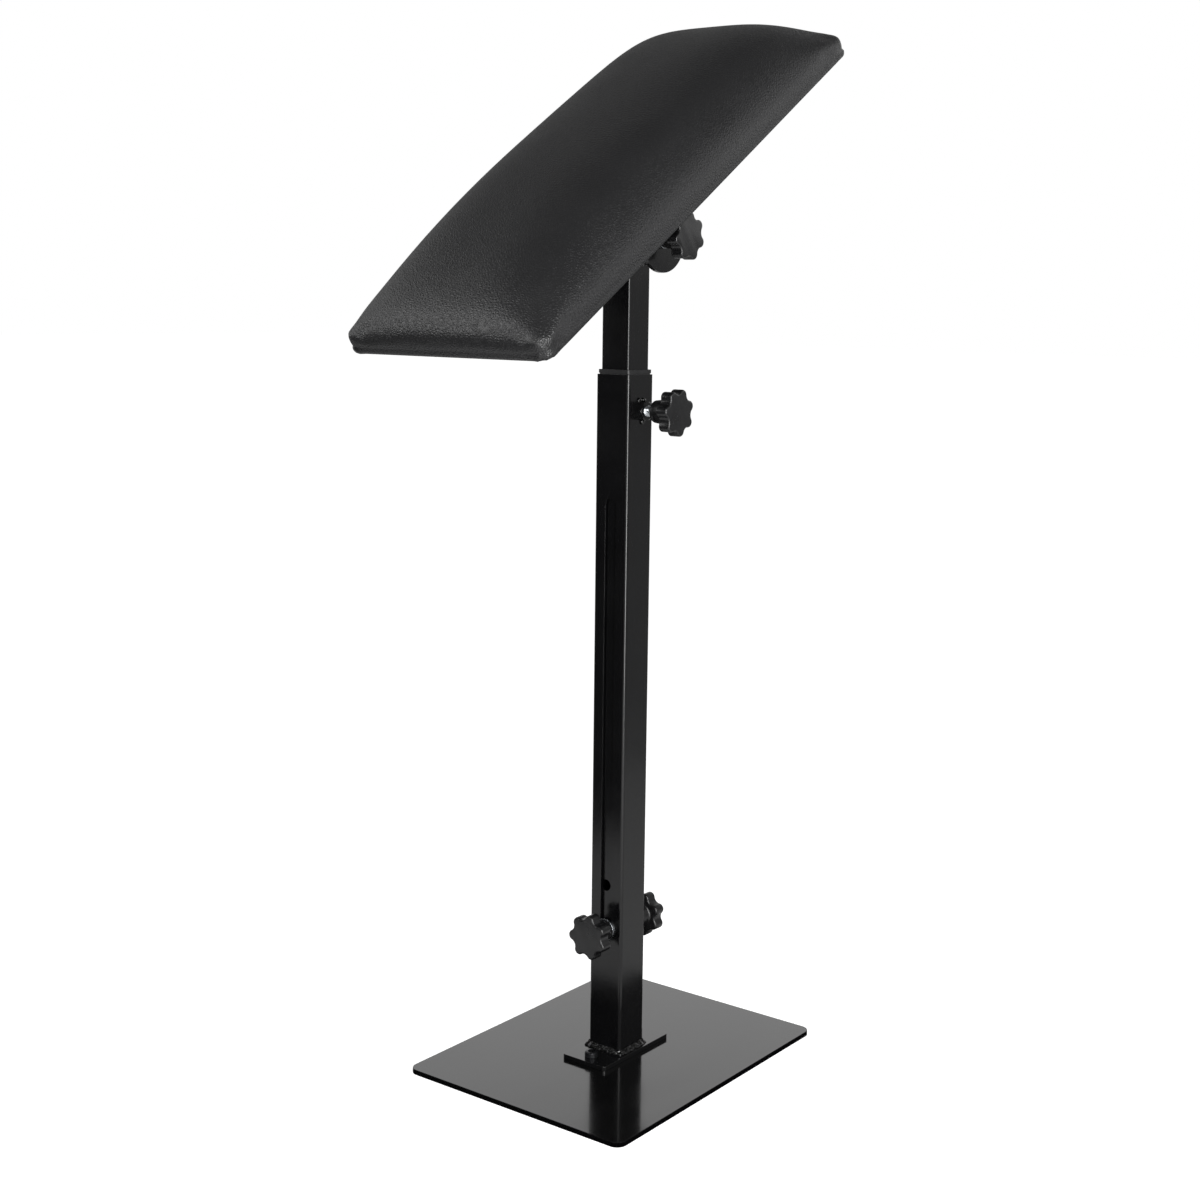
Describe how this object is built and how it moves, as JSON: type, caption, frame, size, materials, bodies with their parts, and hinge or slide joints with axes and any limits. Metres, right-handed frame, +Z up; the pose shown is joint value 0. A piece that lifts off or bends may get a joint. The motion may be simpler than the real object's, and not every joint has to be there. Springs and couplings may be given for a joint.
{
  "type": "tattoo arm rest stand",
  "caption": "Arm rest for a tattoo or salon chair: a tilting padded leatherette rest on a telescopic square column with star-knob clamps and a flat steel base plate.",
  "frame": {"origin": "middle of the base plate's underside, on the floor", "axes": "+Z up the column; the pad slopes up towards +Y, its tilt axis lies along X, and the upper clamp knobs are on the +X side"},
  "size_m": [0.2, 0.3554, 0.7817],
  "materials": {
    "gloss_black_steel": "gloss black coating",
    "black_steel": "satin black powder coat",
    "black_screws": "black oxide",
    "zinc": "bright zinc plate",
    "brass": "turned",
    "knob_plastic": "satin",
    "black_plastic": "satin",
    "black_leather": "fine grained leatherette",
    "plywood": "raw",
    "foam": "open cell",
    "dust_cloth": "thin non-woven"
  },
  "bodies": {
    "stand": {"base_plate": "gloss_black_steel", "foot_flange": "gloss_black_steel", "foot_weld": "black_steel", "flange_screws": "black_screws", "outer_column": "black_steel", "clamp_nut": "black_steel", "nut_weld_tacks": "black_steel", "column_collar": "black_plastic"},
    "mast": {"inner_column": "black_steel", "inner_glide": "black_plastic", "head_tube": "black_steel", "head_end_plates": "black_steel", "head_weld": "black_steel", "lower_rod": "zinc", "lower_washers": "zinc"},
    "front_knob": {"lower_knob_front": "knob_plastic", "lower_insert_front": "brass"},
    "rear_knob": {"lower_knob_rear": "knob_plastic", "lower_insert_rear": "brass"},
    "clamp": {"clamp_knob": "knob_plastic", "clamp_screw": "zinc"},
    "arm_rest": {"tilt_bracket": "black_steel", "bracket_welds": "black_steel", "mount_plate": "black_steel", "plate_screws": "zinc", "t_nuts": "zinc", "tilt_bolt": "zinc", "friction_washers": "black_plastic", "tilt_washer": "zinc", "pad_board": "plywood", "pad_foam": "foam", "pad_cover": "black_leather", "pad_dust_cloth": "dust_cloth"},
    "tilt_grip": {"tilt_knob": "knob_plastic", "tilt_insert": "brass"}
  },
  "joints": [
    {"name": "height_slide", "type": "slide", "parent": "stand", "child": "mast", "axis": [0, 0, 1], "range_m": [0, 0.32]},
    {"name": "pad_tilt", "type": "hinge", "parent": "mast", "child": "arm_rest", "pos_m": [0, 0, 0.621], "axis": [1, 0, 0], "range_deg": [-123, 56]},
    {"name": "clamp_turn", "type": "hinge", "parent": "stand", "child": "clamp", "pos_m": [0.04, 0, 0.4965], "axis": [1, 0, 0], "continuous": true},
    {"name": "front_knob_turn", "type": "hinge", "parent": "mast", "child": "front_knob", "pos_m": [0, -0.027, 0.1035], "axis": [0, -1, 0], "continuous": true},
    {"name": "rear_knob_turn", "type": "hinge", "parent": "mast", "child": "rear_knob", "pos_m": [0, 0.027, 0.1035], "axis": [0, 1, 0], "continuous": true},
    {"name": "tilt_knob_turn", "type": "hinge", "parent": "arm_rest", "child": "tilt_grip", "pos_m": [0.045, 0, 0.621], "axis": [1, 0, 0], "continuous": true}
  ]
}
